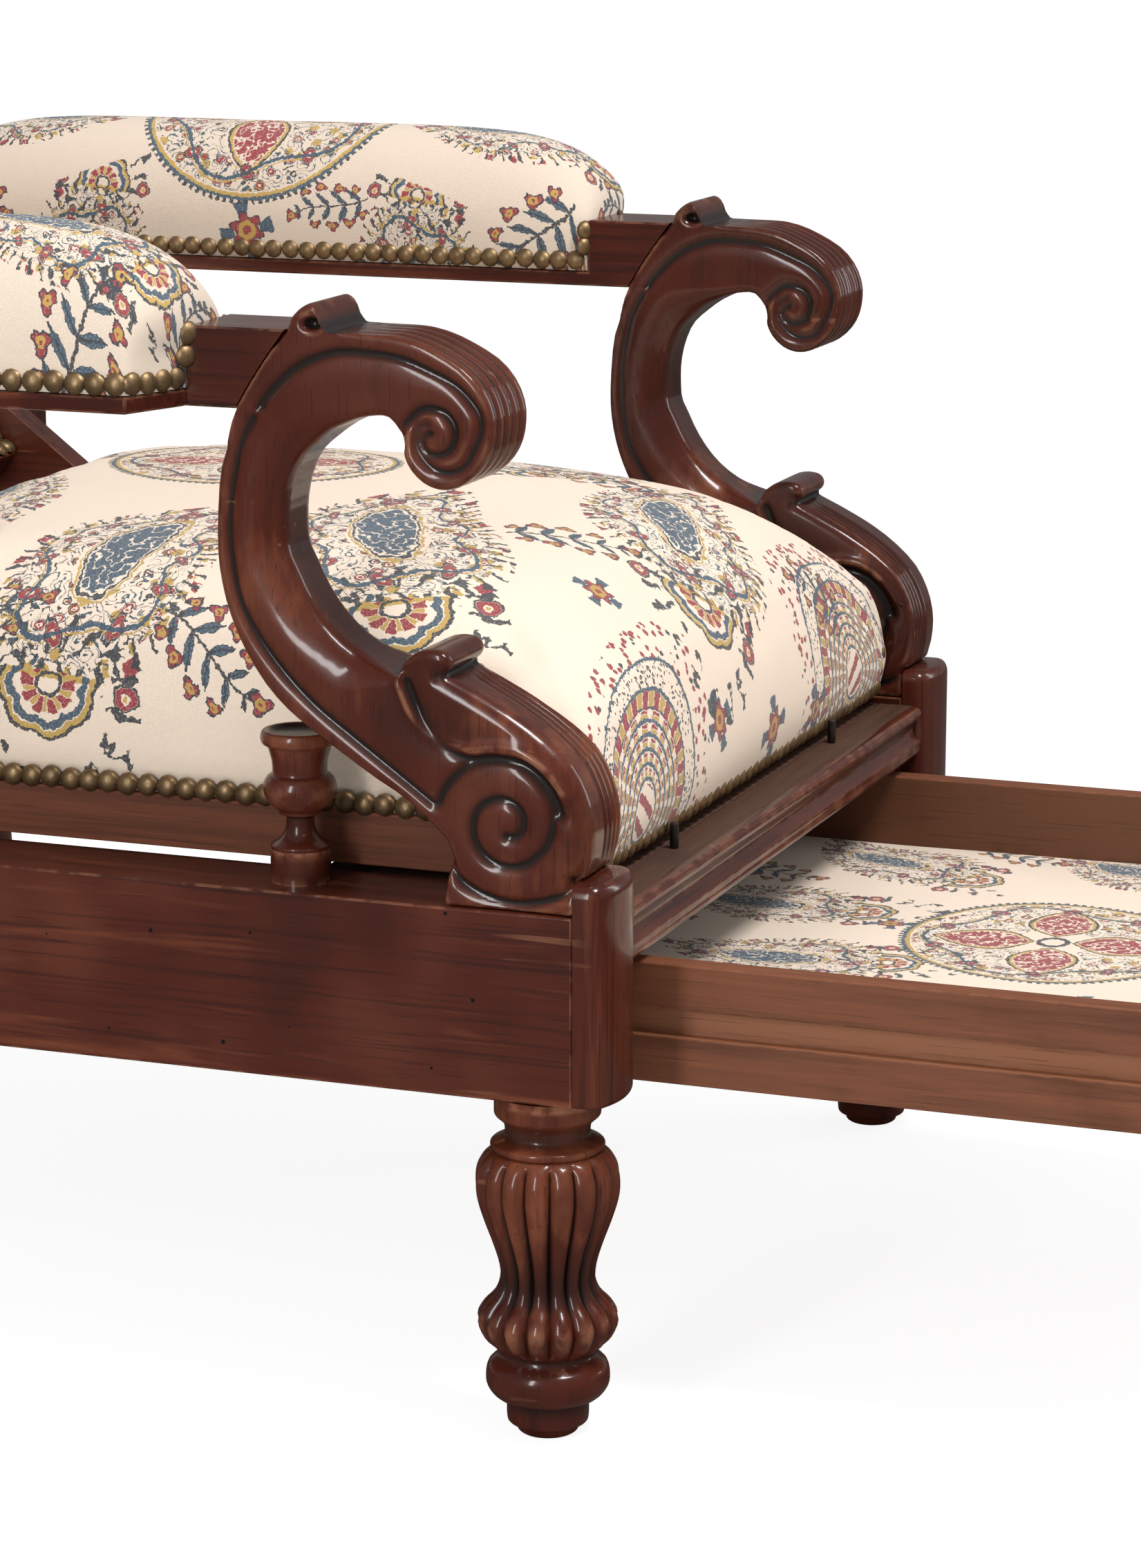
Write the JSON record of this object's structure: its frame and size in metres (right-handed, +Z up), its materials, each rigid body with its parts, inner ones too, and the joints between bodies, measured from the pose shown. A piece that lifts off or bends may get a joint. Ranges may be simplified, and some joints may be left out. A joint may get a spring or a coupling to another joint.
{
  "type": "recliner chair",
  "caption": "Antique-style mahogany reclining armchair with scrolled arms, upholstered seat and back, a back that lies down as the seat slides, and a footrest that draws out.",
  "frame": {"origin": "on the floor, under the middle of the bounding box of the chair as drawn out", "axes": "+X to the sitter's left, +Y to the rear of the chair, +Z up; the sitter faces -Y"},
  "size_m": [0.784, 1.6504, 0.8174],
  "materials": {
    "mahogany": "polished, worn on the edges",
    "drawer_wood": "dull, unpolished",
    "secondary_wood": "bare",
    "printed_fabric": "cream twill with a traditional boteh print",
    "webbing": "plain jute",
    "brass": "antique brass, tarnished",
    "iron": "dark, dull"
  },
  "bodies": {
    "frame": {"side_rail_right": "mahogany", "side_rail_left": "mahogany", "front_post_right": "mahogany", "front_post_left": "mahogany", "front_leg_right": "mahogany", "front_leg_left": "mahogany", "rear_leg_right": "mahogany", "rear_leg_left": "mahogany", "rear_post_right": "mahogany", "rear_post_left": "mahogany", "arm_support_right": "mahogany", "arm_support_left": "mahogany", "arm_rail_right": "mahogany", "arm_rail_left": "mahogany", "arm_board_right": "mahogany", "arm_board_left": "mahogany", "arm_pad_right": "printed_fabric", "arm_pad_left": "printed_fabric", "arm_nails_right": "brass", "arm_nails_left": "brass", "turned_socket_right": "mahogany", "turned_socket_left": "mahogany", "stop_pin_right": "iron", "stop_pin_left": "iron", "footrest_runner_right": "secondary_wood", "footrest_runner_left": "secondary_wood", "front_rail": "mahogany", "seat_shelf": "drawer_wood", "rear_bearer": "secondary_wood", "rear_rail": "mahogany", "back_rest_bar": "mahogany"},
    "seat": {"seat_side_rail_right": "mahogany", "seat_side_rail_left": "mahogany", "seat_front_rail": "secondary_wood", "seat_rear_rail": "secondary_wood", "seat_webbing": "webbing", "seat_cushion": "printed_fabric", "seat_nails": "brass", "seat_glide_right": "secondary_wood", "seat_glide_left": "secondary_wood", "hinge_pin_right": "iron", "hinge_pin_left": "iron"},
    "back": {"back_stile_right": "mahogany", "back_stile_left": "mahogany", "back_lower_rail": "mahogany", "back_crest": "mahogany", "back_webbing": "webbing", "back_cushion": "printed_fabric", "back_nails": "brass", "back_cover": "printed_fabric"},
    "footrest": {"footrest_side_right": "drawer_wood", "footrest_side_left": "drawer_wood", "footrest_front": "mahogany", "footrest_back": "drawer_wood", "footrest_board": "secondary_wood", "footrest_pad": "printed_fabric", "footrest_knob_right": "mahogany", "footrest_knob_left": "mahogany"},
    "catch_right": {"catch_bolt_right": "brass"},
    "catch_left": {"catch_bolt_left": "brass"}
  },
  "joints": [
    {"name": "seat_slide", "type": "slide", "parent": "frame", "child": "seat", "axis": [0, 1, 0], "range_m": [0, 0.111]},
    {"name": "back_recline", "type": "hinge", "parent": "seat", "child": "back", "pos_m": [0, 0.15608, 0.329], "axis": [1, 0, 0], "range_deg": [0, 40]},
    {"name": "footrest_slide", "type": "slide", "parent": "frame", "child": "footrest", "axis": [0, 1, 0], "range_m": [0, 0.43]},
    {"name": "catch_slide_right", "type": "slide", "parent": "frame", "child": "catch_right", "axis": [1, 0, 0], "range_m": [0, 0.02]},
    {"name": "catch_slide_left", "type": "slide", "parent": "frame", "child": "catch_left", "axis": [-1, 0, 0], "range_m": [0, 0.02]}
  ],
  "couplings": [
    {"joint": "seat_slide", "follows": "back_recline", "m_per_rad": 0.1576}
  ]
}
